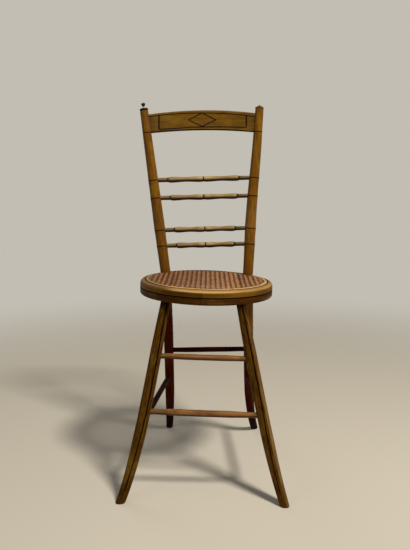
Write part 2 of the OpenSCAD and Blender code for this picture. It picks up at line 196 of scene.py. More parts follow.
def make_piece(name, shells, finish, nodes, sharp=35.0):
    """Puts shells into one mesh with their measures, and lets it stand for the CAD nodes."""
    shells = shells if isinstance(shells, list) else [shells]
    starts = np.cumsum([0] + [len(shell.corners()) for shell in shells])
    corners = np.concatenate([shell.corners() for shell in shells]) * MM
    quads = np.concatenate([shell.quads() + start for shell, start in zip(shells, starts)])
    fans = np.concatenate([shell.fans() + start for shell, start in zip(shells, starts)])
    mesh = bpy.data.meshes.new(name)
    mesh.from_pydata(corners.tolist(), [], quads.tolist() + fans.tolist())
    for measure in shells[0].measures:
        values = np.concatenate([shell.measure(measure) for shell in shells])
        kind, field = ("FLOAT", "value") if values.ndim == 1 else ("FLOAT_VECTOR", "vector")
        layer = mesh.attributes.new(measure, kind, "POINT")
        layer.data.foreach_set(field, values.astype(np.float32).ravel())
    mesh.shade_smooth()
    mesh.set_sharp_from_angle(angle=math.radians(sharp))
    mesh.materials.append(finish)
    piece = add_object(name, mesh)
    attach(piece, "root")
    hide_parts(*nodes)


def unit(v):
    return v / np.linalg.norm(v, axis=-1, keepdims=True)


def around(count):
    """Angles of evenly spaced points once round."""
    return np.linspace(0, 2 * np.pi, count, endpoint=False)


def polar(r, angle, z):
    return np.stack([r * np.cos(angle), r * np.sin(angle), z], -1)


def ease(u):
    """Eased step: half a cosine from 0 to 1 while u goes from 0 to 1."""
    return (1 - np.cos(np.pi * np.clip(u, 0, 1))) / 2


def bell(x, width):
    """Bell curve of height 1: the inverse exponential of the square of x over width."""
    return np.exp(-(x / width) ** 2)


def nearest(x, marks):
    """Distance from each x to the nearest mark."""
    return np.abs(np.asarray(x)[..., None] - np.asarray(marks)).min(-1)


def spread(start, end, step, marks, reach=4.0, fine=0.4):
    """Places along a piece: every step, and every fine step within reach of each mark."""
    near = np.add.outer(np.asarray(marks), np.arange(-reach, reach + fine, fine)).ravel()
    places = np.concatenate([np.linspace(start, end, int((end - start) / step) + 2), near])
    places = np.unique(places[(places >= start) & (places <= end)].round(2))
    return places[np.concatenate([[True], np.diff(places) > fine / 3])]


def uneven(along, angle, seed, amount):
    """Hand-worked unevenness of a radius: three long waves along and round a piece."""
    waves = (np.sin(along / 31 + 2 * angle + seed) + np.sin(along / 53 - 3 * angle + 2.3 * seed)
             + np.sin(along / 17 + angle + 4.1 * seed))
    return amount * waves / 3


def turned(foot, head, along, radius, tips, seed, sides, lumps=0.12, squash=None, **rows):
    """A piece turned on a lathe: foot + s d + r(s) (u cos a + v sin a), d from foot to head.

    squash gives what is taken off the radius at a distance s, for a spoke that points up by so
    much. The rows are measures that change along the piece alone.
    """
    d = unit(head - foot)
    across = np.array([0.0, 1.0, 0.0]) if abs(d[0]) > 0.7 else np.array([1.0, 0.0, 0.0])
    u = unit(across - d * (across @ d))
    v = np.cross(d, u)
    angle = around(sides)[None, :]
    s = np.asarray(along)[:, None]
    r = np.asarray(radius)[:, None] + uneven(s, angle, seed, lumps)
    spoke = u * np.cos(angle)[..., None] + v * np.sin(angle)[..., None]
    if squash is not None:
        r = r - squash(s, spoke[..., 2])
    points = foot + s[..., None] * d + r[..., None] * spoke
    grain = polar(r, angle, s + 0 * angle)
    ends = np.array([foot + tips[0] * d, foot + tips[1] * d])
    under = -spoke[..., 2] + 0 * r
    measures = {key: value[:, None] + 0 * r for key, value in rows.items()}
    return Shell(points, ends, grain=grain + 71.0 * seed, under=under, **measures)


# The chair's own geometry

def on_seat(points):
    """Moves points of the seat's own level into place: tilted sideways, then lifted."""
    x, y, z = np.moveaxis(np.asarray(points, float), -1, 0)
    c, s = math.cos(SEAT_TILT), math.sin(SEAT_TILT)
    return np.stack([x * c + z * s + SEAT_SHIFT, y, z * c - x * s + SEAT_H], -1)


def seat_level(x, depth=0.0):
    """Height of the plane that lies depth below the seat's top, over a point x to the right."""
    return SEAT_H - (x - SEAT_SHIFT) * math.tan(SEAT_TILT) - depth / math.cos(SEAT_TILT)


def post_foot(side):
    x = side * FOOT_CIRCLE_R * math.cos(POST_ANGLE) - BACK_SHIFT
    return np.array([x, FOOT_CIRCLE_R * math.sin(POST_ANGLE), seat_level(x)])


def post_top(side):
    return np.array([side * POST_TOP_X - BACK_LEAN, POST_TOP_Y, POST_TOP_Z])


def warp(side, u):
    """How far age has bowed a post to the left at share u of its height: the right one only."""
    return POST_WARP * np.sin(np.pi * np.clip(u, 0, 0.8) / 0.8) ** 2 * (side == RIGHT)


def post_at(side, z):
    """Point on a post's axis at height z."""
    foot, top = post_foot(side), post_top(side)
    u = (z - foot[2]) / (top[2] - foot[2])
    return foot + (top - foot) * u - np.array([warp(side, u), 0.0, 0.0])


def rod_end(side, height):
    return post_at(side, SEAT_H + height + side * ROD_RISE / 2)


def leg_top(leg, side):
    x = side * FOOT_CIRCLE_R * math.cos(leg[side][0])
    return np.array([x, FOOT_CIRCLE_R * math.sin(leg[side][0]), seat_level(x, SEAT_T)])


def leg_path(leg, side, t):
    """Axis of a leg at fall t, 0 at the seat and 1 at the floor: a line, and t^5 for the curl."""
    top = leg_top(leg, side)
    foot = np.array(leg[side][1] + (0.0,))
    t = np.asarray(t, float)
    swing = [(1 - c) * t + c * np.sign(t) * np.abs(t) ** CURL_POWER for c in leg[side][2]] + [t]
    return top + (foot - top) * np.stack(swing, -1)


def leg_at(leg, side, z):
    return leg_path(leg, side, 1 - z / leg_top(leg, side)[2])


# Finishes

class Finish:
    """A material in the making. Its calls add nodes and give their outputs."""

    def __init__(self, name):
        self.material = bpy.data.materials.new(name)
        self.material.use_nodes = True
        self.tree = self.material.node_tree
        self.shader = self.tree.nodes["Principled BSDF"]

    def node(self, kind, inputs, **settings):
        node = self.tree.nodes.new(kind)
        for key, value in settings.items():
            setattr(node, key, value)
        self.fill(node, inputs)
        return node

    def fill(self, node, inputs):
        """Links an output to each named input, or sets it where the value is a plain one."""
        for place, value in inputs.items():
            if isinstance(value, bpy.types.NodeSocket):
                self.tree.links.new(value, node.inputs[place])
            elif value is not None:
                node.inputs[place].default_value = value

    def measure(self, name, kind="Fac"):
        return self.node("ShaderNodeAttribute", {}, attribute_name=name).outputs[kind]

    def calc(self, operation, a, b=None):
        return self.node("ShaderNodeMath", {0: a, 1: b}, operation=operation).outputs[0]

    def fade(self, value, low, high, start=0.0, end=1.0):
        """Smooth step from start to end while the value goes from low to high."""
        inputs = dict(enumerate((value, low, high, start, end)))
        return self.node("ShaderNodeMapRange", inputs, interpolation_type="SMOOTHSTEP").outputs[0]

    def distance(self, value, mark):
        return self.calc("ABSOLUTE", self.calc("SUBTRACT", value, mark))

    def noise(self, size, detail=3.0, roughness=0.55, stretch=1.0):
        """Noise of that size in millimetres on the grain, longer along it by stretch."""
        scale = (1 / size, 1 / size, 1 / size / stretch)
        grain = self.measure("grain", "Vector")
        scaled = self.node("ShaderNodeMapping", {"Vector": grain, "Scale": scale}).outputs[0]
        inputs = {"Vector": scaled, "Scale": 1.0, "Detail": detail, "Roughness": roughness}
        return self.node("ShaderNodeTexNoise", inputs).outputs[0]

    def sway(self, noise, width):
        """Noise moved to swing about zero, over that width."""
        return self.calc("MULTIPLY", self.calc("SUBTRACT", noise, 0.5), width)

    def mix(self, share, below, above):
        """Blends two colours, each of them an output or a six-figure code."""
        below, above = (colour(tone) if isinstance(tone, str) else tone for tone in (below, above))
        node = self.node("ShaderNodeMix", {0: share, 6: below, 7: above}, data_type="RGBA")
        return node.outputs[2]

    def tint(self, base, mask, share, code):
        """Lays a colour over the base where the mask is 1, as thickly as the share says."""
        return self.mix(self.calc("MULTIPLY", mask, share), base, code)

    def line(self, distance, half_width, soft=0.35, ragged=0.5):
        """1 on a painted line and 0 beside it, with the edge of a hand-held brush."""
        drawn = self.calc("ADD", distance, self.sway(self.noise(3.0), ragged))
        return self.fade(drawn, half_width - soft, half_width + soft, 1.0, 0.0)

    def done(self, tone, rough, bumps, specular):
        """Fills the shader. bumps is a list of (height, depth in millimetres)."""
        normal = None
        for height, depth in bumps:
            inputs = {"Strength": 1.0, "Distance": depth * MM, "Height": height, "Normal": normal}
            normal = self.node("ShaderNodeBump", inputs).outputs[0]
        self.fill(self.shader, {"Base Color": tone, "Roughness": rough,
                                "Specular IOR Level": specular, "Normal": normal})
        return self.material


def colour(code):
    """Linear colour with alpha from a six-figure code."""
    parts = np.array([int(code[i:i + 2], 16) for i in (1, 3, 5)]) / 255
    linear = np.where(parts <= 0.04045, parts / 12.92, ((parts + 0.055) / 1.055) ** 2.4)
    return (*linear.tolist(), 1.0)


# Tone of dark specks, and of dirt with painted shade
SOIL_AND_SHADE = "#140a04"


def old_paint(name, body, light, dark, worn, line=None, half_line=1.2, line_tone="#150803",
              under=0.0, rough=0.42, gloss=0.12, mottled=0.55):
    """Old brushed paint: streaks along the grain, blotches, dark specks, rubbed places, lines.

    The streaks part the dark tone from the body, the blotches add the light tone and more of the
    dark one, rubbed places and painted highlights show the worn tone, and dirt with painted shade
    and the lines go over all of them. The lines are dull, and so is the side that faces down,
    which the share under darkens as painted shade.
    """
    f = Finish(name)
    streaks = f.noise(1.6, 4.0, 0.6, stretch=26.0)
    blotches = f.noise(34.0, 3.0, 0.5, stretch=2.0)
    smears = f.noise(7.0, 3.0, 0.6, stretch=3.5)
    flecks = f.noise(1.3, 2.0, 0.5, stretch=2.5)
    paint = f.mix(f.fade(streaks, 0.34, 0.64), dark, body)
    paint = f.tint(paint, f.fade(blotches, 0.5, 0.72), 0.6, light)
    paint = f.tint(paint, f.fade(smears, 0.5, 0.34), mottled, dark)
    # rubbed paint and painted highlights lighten towards the worn tone
    rubbed = f.calc("ADD", f.measure("rub"), f.sway(streaks, 0.7))
    paint = f.mix(f.fade(rubbed, 0.35, 0.95), paint, worn)
    paint = f.tint(paint, f.fade(flecks, 0.68, 0.76), 0.6, SOIL_AND_SHADE)
    # painted shade: the side that faces down is darkened by the share under
    if under:
        shaded = f.fade(f.measure("under"), -0.4, 0.4, 0.0, under)
        paint = f.mix(shaded, paint, "#2c1204")
    # dirt and painted shade, from the piece's own measure
    grime_and_shade = f.calc("ADD", f.measure("soil"), f.sway(smears, 0.6))
    paint = f.mix(f.fade(grime_and_shade, 0.15, 1.1, 0.0, 0.9), paint, SOIL_AND_SHADE)
    dull = f.fade(blotches, 0.3, 0.7, rough + 0.08, rough - 0.06)
    if under:
        dull = f.calc("MAXIMUM", dull, f.calc("MULTIPLY", shaded, 0.85))
    if line:
        drawn = f.line(f.measure(line), half_line)
        drawn = f.calc("MULTIPLY", drawn, f.fade(flecks, 0.60, 0.70, 1.0, 0.45))
        paint = f.mix(drawn, paint, line_tone)
        dull = f.calc("MAXIMUM", dull, f.calc("MULTIPLY", drawn, 0.9))
    return f.done(paint, dull, [(streaks, 0.12), (flecks, 0.10)], gloss)


def seat_paint(name):
    """Ochre above the rim's line and red-brown below it, lighter to the right as painted light.
    Its upper edge is pale on the front and right, as rubbed paint and a painted highlight, and dark
    at the back as painted shade. The bare wood inside the opening is darkened as painted shade."""
    f = Finish(name)
    depth = f.measure("depth")
    radius = f.measure("radius")
    streaks = f.noise(1.8, 4.0, 0.6, stretch=30.0)
    blotches = f.noise(28.0, 3.0, 0.55, stretch=2.5)
    flecks = f.noise(1.4, 2.0, 0.5, stretch=2.0)
    lit_and_rubbed = f.measure("lit_and_rubbed")
    above = f.mix(f.fade(streaks, 0.35, 0.65), "#482d05", "#5f4008")
    # painted light: lighter towards the right of the seat
    above = f.mix(f.fade(lit_and_rubbed, 0.6, 1.0, 0.0, 0.6), above, "#86601c")
    above = f.tint(above, f.fade(blotches, 0.46, 0.7), 0.5, "#7c5820")
    above = f.tint(above, f.fade(blotches, 0.46, 0.3), 0.5, "#3c2404")
    below = f.mix(f.fade(streaks, 0.35, 0.65), "#361c03", "#522f04")
    below = f.tint(below, f.fade(blotches, 0.46, 0.7), 0.6, "#6c4e1e")
    sides = f.mix(f.fade(depth, 17.5, 20.0), above, below)
    # rubbed paint and a painted highlight along the upper edge, on the front and right
    rubbed_and_lit_edge = f.calc("MULTIPLY", f.fade(depth, 8.0, 3.5, 0.0, 0.81), f.fade(lit_and_rubbed, 0.05, 0.55))
    rubbed_and_lit_edge = f.calc("MULTIPLY", rubbed_and_lit_edge, f.fade(lit_and_rubbed, 0.75, 1.0, 1.0, 0.62))
    rubbed_and_lit_edge = f.calc("ADD", rubbed_and_lit_edge, f.calc("MULTIPLY", blotches, 0.4))
    sides = f.mix(f.fade(rubbed_and_lit_edge, 0.35, 0.95), sides, "#c49a60")
    sides = f.mix(f.fade(depth, 2.6, 1.0, 0.0, 0.6), sides, "#7c5a26")
    # painted shade along the back edge
    soiled = f.calc("MULTIPLY", f.measure("back"), f.fade(radius, 156.0, 162.0))
    sides = f.tint(sides, soiled, 0.85, "#241205")
    top_line = f.line(f.distance(radius, TOP_LINE_R), 1.4)
    rim_line = f.line(f.distance(depth, RIM_LINE_DEPTH), 1.6)
    drawn = f.calc("MAXIMUM", top_line, rim_line)
    drawn = f.calc("MULTIPLY", drawn, f.fade(flecks, 0.64, 0.72, 1.0, 0.6))
    paint = f.mix(drawn, sides, "#0a0301")
    paint = f.tint(paint, f.fade(flecks, 0.67, 0.75), 0.6, SOIL_AND_SHADE)
    # painted shade: the bare wood inside the opening is darkened
    paint = f.mix(f.fade(radius, 137.6, 136.2), paint, "#190a04")
    dull = f.calc("MAXIMUM", f.fade(blotches, 0.3, 0.7, 0.52, 0.4), f.calc("MULTIPLY", drawn, 0.9))
    return f.done(paint, dull, [(streaks, 0.12), (flecks, 0.1)], 0.05)


def footworn(name):
    """Bare wood worn by feet, with open grain, and remains of olive paint towards its ends. Its
    downward side is darkened as painted shade.
    """
    f = Finish(name)
    pores = f.noise(0.9, 4.0, 0.65, stretch=34.0)
    figure = f.noise(5.0, 3.0, 0.5, stretch=18.0)
    blotches = f.noise(26.0, 3.0, 0.55, stretch=1.6)
    wood = f.mix(f.fade(pores, 0.34, 0.66), "#684114", "#906030")
    wood = f.tint(wood, f.fade(figure, 0.4, 0.7), 0.6, "#ac7c48")
    wood = f.tint(wood, f.fade(blotches, 0.52, 0.34), 0.7, "#54330f")
    paint = f.mix(f.fade(pores, 0.35, 0.65), "#5a3c10", "#7a5a24")
    edge = f.calc("ADD", f.measure("from_end"), f.sway(blotches, 60.0))
    wood = f.mix(f.fade(edge, 26.0, 10.0), wood, paint)
    # painted shade: the downward side is darkened
    wood = f.mix(f.fade(f.measure("under"), -0.3, 0.65, 0.0, 0.85), wood, "#2a1204")
    specks = f.fade(f.noise(1.6, 2.0, 0.5, stretch=2.0), 0.66, 0.74)
    wood = f.tint(wood, specks, 0.7, "#221005")
    rough = f.fade(blotches, 0.3, 0.7, 0.52, 0.4)
    return f.done(wood, rough, [(pores, 0.16), (specks, 0.1)], 0.2)


def old_cane(name, pale, deep, spot, inside):
    """Aged cane: fine fibres along the strand, each strand a tone apart, and an inside tone that is
    painted shade where the strand dips into the weave, where it crosses an opening and at its edges."""
    f = Finish(name)
    fibres = f.noise(0.35, 3.0, 0.6, stretch=40.0)
    patches = f.noise(9.0, 2.0, 0.5, stretch=3.0)
    cane = f.mix(f.fade(fibres, 0.34, 0.68), deep, pale)
    cane = f.tint(cane, f.fade(patches, 0.54, 0.34), 0.7, spot)
    cane = f.tint(cane, f.measure("tone"), 0.5, spot)
    # painted shade: the inside tone in the openings, where a strand dips and at its edges
    cane = f.mix(f.measure("open"), cane, inside)
    edge_shade = f.calc("MULTIPLY", f.fade(f.measure("edge"), 0.5, 1.0), 0.6)
    cane = f.tint(cane, f.calc("MAXIMUM", f.measure("sunk"), edge_shade), 0.92, inside)
    rough = f.fade(patches, 0.3, 0.7, 0.48, 0.34)
    return f.done(cane, rough, [(fibres, 0.05)], 0.1)


ochre = old_paint("ochre_paint", "#7a4f03", "#8b6406", "#583603", "#93682a", "line", 1.5, "#220b03")
crest_ochre = old_paint("crest_paint", "#75520a", "#836412", "#573a06", "#8c7450", "line", 1.6,
                        "#170802")
# painted shade: the rods' downward side is darkened
bamboo = old_paint("bamboo_paint", "#a08654", "#b09a68", "#7c6236", "#d0b688", "line", 1.6,
                   under=0.97, gloss=0.22)
olive = old_paint("front_leg_paint", "#62410e", "#78581e", "#3a2104", "#9a7a44", "line", 1.75,
                  "#0a0201", rough=0.55, gloss=0.03, mottled=0.9)
rear_paint = old_paint("rear_leg_paint", "#4c1805", "#6c3a12", "#320a02", "#765020", rough=0.55,
                       gloss=0.03, mottled=0.8)
dark_wood = old_paint("dark_wood", "#2c0c04", "#3e1c08", "#170502", "#5d3106", rough=0.6, gloss=0.02)
bud_paint = old_paint("finial_paint", "#200c06", "#2e160c", "#120604", "#b99c7c", "line", 1.1,
                      gloss=0.2)
seat_ochre = seat_paint("seat_paint")
rung_wood = footworn("footworn_wood")
cane_finish = old_cane("cane", "#d2a472", "#ae7a4a", "#6e3e1c", "#471402")
binder_finish = old_cane("binder_cane", "#f2cc8c", "#deb272", "#b48a50", "#4a250f")


# Seat frame

def arc(centre, r, start, end, count):
    """Points of an arc from one angle to another, in degrees."""
    angle = np.radians(np.linspace(start, end, count))
    return np.stack([centre[0] + r * np.cos(angle), centre[1] + r * np.sin(angle)], -1)


def light_and_rub(angle):
    """How much a direction of the seat is lit and rubbed: 1 at the right, less in front, 0 at the left.
    It stands for painted light on the right, painted shade on the left and rubbed paint on the upper
    edge.
    """
    return np.clip((np.cos(angle + 0.45) + 0.55) / 1.5, 0, 1)


def seat_section():
    """Section of the seat frame as (radius, height), clockwise: a flat top, a round rim."""
    lip_r = OPENING_R + LIP_R
    top = np.stack([np.linspace(lip_r, SEAT_R - RIM_TOP_R - 0.5, 12), np.zeros(12)], -1)
    rim = arc((SEAT_R - RIM_TOP_R, -RIM_TOP_R), RIM_TOP_R, 90, 0, 18)
    wall_z = np.linspace(-RIM_TOP_R - 0.8, RIM_UNDER_R - SEAT_T + 0.8, 14)
    wall = np.stack([np.full(14, SEAT_R), wall_z], -1)
    under = arc((SEAT_R - RIM_UNDER_R, RIM_UNDER_R - SEAT_T), RIM_UNDER_R, 0, -90, 12)
    foot = arc((lip_r, LIP_R - SEAT_T), LIP_R, -90, -180, 4)
    lip = arc((lip_r, -LIP_R), LIP_R, 180, 90, 4)
    return np.concatenate([top, rim, wall, under, foot, lip[:-1]])


def seat_rail(name, turn, seed):
    """A quarter of the seat frame: its section carried round the seat's middle."""
    section = seat_section()
    inset = math.degrees(RAIL_INSET / SEAT_R)
    angle = np.radians(np.linspace(turn + inset, turn + 90 - inset, 61))[:, None]
    r = section[:, 0] + 0 * angle
    z = section[:, 1] + 0 * angle
    wave = 0.35 * np.sin(5 * angle + seed) * (section[:, 0] > OPENING_R + 20)
    points = on_seat(polar(r + wave, angle, z))
    grain = np.stack([r, z, angle * FOOT_CIRCLE_R + 0 * r], -1) + 40.0 * seed
    back = ease((np.sin(angle) + 0.20) / 0.40) + 0 * r
    shell = Shell(points, grain=grain, radius=r, depth=-z, back=back, lit_and_rubbed=light_and_rub(angle) + 0 * r)
    make_piece(name, shell, seat_ochre, [name], sharp=60.0)


for number, quarter in enumerate(("rear_right", "rear_left", "front_left", "front_right")):
    seat_rail("seat_rail_" + quarter, 90 * number, number)


# Posts

def back_post(side, name):
    """A turned post with a dark ring at each rod, at the crest rail's foot and under its cap.

    The rings are narrow grooves, the post swells a little round each rod, and the cap stands
    proud of the post by half a millimetre and is rounded over.
    """
    foot, top = post_foot(side), post_top(side)
    length = np.linalg.norm(top - foot)
    rod_marks = [np.linalg.norm(rod_end(side, h) - foot) - 1.5 for h in ROD_HEIGHTS]
    crest_mark = np.linalg.norm(post_at(side, CREST_RING_Z) - foot)
    cap_mark = length - POST_CAP
    marks = np.array(rod_marks + [crest_mark, cap_mark])
    s = spread(-POST_SADDLE, length - 0.01, 5.0, list(marks) + [length])
    r = np.interp(s / length, POST_RADII_AT, POST_RADII)
    for mark in rod_marks:
        r = r + 0.5 * bell(s - mark, 8.0)
    r = r - 0.7 * bell(nearest(s, marks), 0.9)
    r = r + 0.5 * (s > cap_mark) * ease((s - cap_mark) / 2)
    into_cap = np.clip((s - length + POST_CAP_ROUND) / POST_CAP_ROUND, 0, 1)
    r = r - POST_CAP_ROUND * (1 - np.sqrt(1 - into_cap ** 2))
    painted = marks[:-1] if side == RIGHT else marks
    line = np.minimum(nearest(s, painted), np.abs(s - length + 0.2))
    soil = (0.95 if side == LEFT else 0.35) * ease((s - cap_mark + 0.8) / 0.8)
    soil = soil + 0.45 * bell(s, 14.0) + 0.3 * bell(nearest(s, rod_marks), 5.0)
    soil = soil + (0.32 if side == LEFT else 0.0) * ease((s / length - 0.78) / 0.15)
    rub = 0.12 + (0.5 * bell(s - 0.32 * length, 95.0) if side == RIGHT else 0 * s)
    shell = turned(foot, top, s, r, (-POST_SADDLE, length), seed=side + 3, sides=48, line=line,
                   rub=rub, soil=soil)
    shell.points[..., 0] -= warp(side, s / length)[:, None]
    make_piece(name, shell, ochre, [name])


back_post(LEFT, "left_post")
back_post(RIGHT, "right_post")


# Crest rail

def segment_distance(x, z, a, b):
    """Distance from each (x, z) to the straight line between a and b."""
    dx, dz = b[0] - a[0], b[1] - a[1]
    u = np.clip(((x - a[0]) * dx + (z - a[1]) * dz) / (dx * dx + dz * dz), 0, 1)
    return np.hypot(x - a[0] - u * dx, z - a[1] - u * dz)


def crest_finish(x, height, depth, half, arch, low):
    """The crest rail's distance to its nearest painted line, its wear with painted highlights, and its
    dirt with painted shade.

    The panel's lower side and the head line follow parabolas in x, set a little askew, and the
    lozenge joins four tips. They lie on the front face alone, and the foot line also on the rounded
    edges. The rail is paler along its upper edge as a painted highlight, in a strip above its foot
    line, and towards the right as painted light. It is darker at its ends and outside the panel,
    along its lower edge as painted shade, and towards the left as painted shade.
    """
    along = x + 0 * height
    sides = np.minimum(np.abs(along - PANEL_LEFT), np.abs(along - PANEL_RIGHT)) - 0.5
    panel_low = 10.8 + 9.0 * arch + 1.2 * ease(x / half) - 2.0 * ease((-x - 30.0) / 45.0)
    panel_high = 43.6 - 0.0115 * x + 14.9 * arch
    inside = (along > PANEL_LEFT) & (along < PANEL_RIGHT)
    upright = (height > panel_low) & (height < panel_high)
    low_side = np.where(inside, np.abs(height - panel_low), 99)
    panel = np.minimum(np.where(upright, sides, 99), low_side)
    tips = ((-39.5, 39.5), (-1.5, 58.7), (37.0, 39.1), (-1.5, 21.5))
    edges = [segment_distance(along, height, tips[i], tips[(i + 1) % 4]) for i in range(4)]
    lozenge = np.min(edges, 0)
    foot_line = np.abs(height - low - 1.0)
    head_line = np.abs(height - panel_high) + 0.2
    drawn = np.minimum(np.minimum(panel, lozenge), np.minimum(foot_line, head_line))
    behind = np.where(depth < CREST_T / 2 - 0.01, foot_line, 99.0)
    line = np.where(depth < 0.01 - CREST_T / 2, drawn, behind)
    # painted light: paler towards the right, and a painted highlight along the upper edge
    rub = 0.14 + 0.14 * along / half + 0.17 * ease((height - panel_high - 1.6) / 1.2)
    rub = rub + 0.35 * bell(height - low - 4.4, 1.2)
    # painted shade along the lower edge and towards the left, and darker ends and margins
    soil = 0.3 * bell(height - low, 5.0) + 0.5 * bell(half - np.abs(along), 18.0)
    soil = soil + 0.34 * (~inside) * np.where(along < 0, 0.85, 0.35)
    soil = soil + 0.52 * ease(-along / half) * inside
    soil = soil - 0.4 * (height > panel_high + 1.6)
    return line, rub, soil


def crest_rail():
    """A board bowed backward: a rounded section of changing height, carried along an arc.

    At x along the chord, the middle of the board lies back by the arc's rise at x, and its
    lower and upper edges each rise by an arch that is a parabola in x.
    """
    left_end, right_end = post_at(LEFT, CREST_Z), post_at(RIGHT, CREST_Z)
    middle = (left_end + right_end) / 2
    half = (right_end[0] - left_end[0]) / 2
    bend_r = (half ** 2 + CREST_BOW ** 2) / (2 * CREST_BOW)
    rake = math.atan((POST_TOP_Y - post_foot(LEFT)[1]) / (POST_TOP_Z - SEAT_H))
    reach = half - 3.0
    x = np.linspace(-reach, reach, 221)[:, None]
    arch = 1 - (x / half) ** 2
    low = CREST_LOW_ARCH * arch
    high = CREST_H + CREST_TOP_ARCH * arch
    t = CREST_T / 2
    front, back = np.linspace(0, 1, 46), np.linspace(1, 0, 16)
    turn = np.radians(np.linspace(0, 180, 13)[1:-1])
    # depth is -t on the front face and t on the back, share goes from the face's foot to its head
    depth = np.concatenate([front * 0 - t, -t * np.cos(turn), back * 0 + t, t * np.cos(turn)])
    share = np.concatenate([front, turn * 0 + 1, back, turn * 0])
    swell = np.concatenate([front * 0, CREST_TOP_ROUND * np.sin(turn),
                            back * 0, -CREST_LOW_ROUND * np.sin(turn)])
    height = (low + CREST_LOW_ROUND) + (high - low - CREST_LOW_ROUND - CREST_TOP_ROUND) * share + swell
    line_up = np.arcsin(x / bend_r)
    px = (bend_r + depth) * np.sin(line_up)
    py = CREST_BOW - bend_r + (bend_r + depth) * np.cos(line_up)
    c, s = math.cos(rake), math.sin(rake)
    points = middle + np.stack([px + 0 * height, py * c + height * s, height * c - py * s], -1)
    line, rub, soil = crest_finish(x, height, depth, half, arch, low)
    grain = np.stack([depth + 0 * height, height, x + 0 * height], -1) + 213.0
    # the section is listed from the front's foot upward, which is against the way it is carried
    points, grain, line, rub, soil = (part[:, ::-1] for part in (points, grain, line, rub, soil))
    shell = Shell(points, grain=grain, line=line, rub=rub, soil=soil)
    make_piece("crest_rail", shell, crest_ochre, ["crest_rail"], sharp=50.0)


crest_rail()


# Back rods

def back_rod(name, height, seed):
    """A rod turned like bamboo: thin ends with a shoulder at the first node, three dark nodes, a
    swelling beside each node and a waist between, each joined to the next by half a cosine. Its
    left half is a little fuller than its right one."""
    start, end = rod_end(LEFT, height), rod_end(RIGHT, height)
    length = np.linalg.norm(end - start)
    middle = length / 2
    node_s = 41.5
    waist = (node_s + middle) / 2
    knots_s = np.array([0, 16.5, node_s - 1.2, node_s + 1.2, node_s + 9, waist, middle - 9, middle])
    knots_r = np.array([5.8, 5.8, 6.0, 7.2, 8.0, 6.5, 8.0, 7.3])
    marks = np.array([node_s, middle, length - node_s])
    s = spread(1.0, length - 1.0, 2.5, marks, reach=3.2)
    folded = middle - np.abs(s - middle)
    k = np.clip(np.searchsorted(knots_s, folded, side="right") - 1, 0, len(knots_s) - 2)
    u = (folded - knots_s[k]) / (knots_s[k + 1] - knots_s[k])
    r = knots_r[k] + (knots_r[k + 1] - knots_r[k]) * ease(u)
    r = r + 0.25 * (1 - 2 * ease(s / length)) - 0.65 * bell(nearest(s, marks), 0.8)
    rub = 0.15 + 0.45 * bell(nearest(s, [middle - 10, middle + 10]), 16.0)
    soil = 0.5 * ease((46 - s) / 8) + 0.7 * ease((s - length + 48) / 8)
    soil = soil + 0.3 * bell(nearest(s, marks), 4.0)
    shell = turned(start, end, s, r, (1.0, length - 1.0), seed=seed, sides=36, lumps=0.18,
                   line=nearest(s, marks), rub=rub, soil=soil)
    make_piece(name, shell, bamboo, [name])


for number, (rod_name, rod_height) in enumerate(zip(ROD_NAMES, ROD_HEIGHTS)):
    back_rod(rod_name, rod_height, number + 5)


# Finials

def finial(name, side, outline):
    """A small turned ornament on a post: its outline (distance, radius) made smooth and spun.

    The left one is rubbed pale below its bud. The right one has a dark ring and a bare pin.
    """
    top = post_top(side)
    ahead = unit(top - post_foot(side))
    knots = np.array(outline)
    s = np.linspace(knots[0, 0], knots[-1, 0], 90)
    r = np.interp(s, knots[:, 0], knots[:, 1])
    soft = np.convolve(np.pad(r, 2, mode="edge"), np.array([1, 3, 4, 3, 1]) / 12, mode="valid")
    soft[[0, -1]] = r[[0, -1]]
    if side == LEFT:
        rub = 1.2 * (s < 4.6)
        ring = 99 + 0 * s
    else:
        rub = 0.5 * (s < 2.2) + 1.2 * (s > 4.2)
        ring = np.abs(s - 3.2)
    shell = turned(top, top + ahead, s, soft, (s[0], s[-1] + 0.05), seed=side + 9, sides=32,
                   lumps=0.05, line=ring, rub=rub)
    make_piece(name, shell, bud_paint, [name])


finial("left_finial", LEFT,
       [(-0.5, 5.6), (0.5, 5.3), (1.6, 3.9), (2.9, 2.6), (4.0, 1.9), (4.8, 1.9), (6.2, 2.9), (8.2, 4.3),
        (10.4, 5.4), (12.2, 5.8), (13.6, 5.4), (14.8, 4.3), (15.6, 2.6), (15.9, 1.4), (16.0, 0.3)])
finial("right_finial_stub", RIGHT,
       [(-0.5, 8.5), (0.3, 8.5), (1.2, 8.1), (2.2, 7.1), (3.1, 5.5), (3.7, 3.9), (4.1, 2.9), (5.0, 2.5),
        (6.6, 2.2), (7.6, 1.6), (8.0, 0.4)])


# Legs

# Painted lines: shares of the fall, and how far to the right of the middle, in radii, they lie
LEFT_LINE = ((0, 0.3, 0.55, 0.8, 1), (0.44, 0.45, 0.45, 0.2, 0.12))
RIGHT_LINE = ((0, 0.5, 0.7, 0.8, 1), (0.17, 0.20, -0.01, -0.11, -0.18))


def squared(points, centre, ahead, t):
    """Slides a leg's points along it, so that its first row lies in the plane of the seat's
    underside and its last row on the floor. Rows near them ease into that, and the rest stay
    square to the leg."""
    level = np.where(t < 0, math.tan(SEAT_TILT), 0.0)[:, None]
    square = np.clip(np.maximum(ease(1 - t / 0.05), ease((t - 0.93) / 0.07)), 0, 1)[:, None]
    fall = centre[:, 2:3] - points[..., 2] - level * (points[..., 0] - centre[:, :1])
    fall = square * fall / (ahead[:, 2:3] + level * ahead[:, :1])
    points = points + fall[..., None] * ahead[:, None]
    points[..., 2] = np.maximum(points[..., 2], 0.0)
    return points


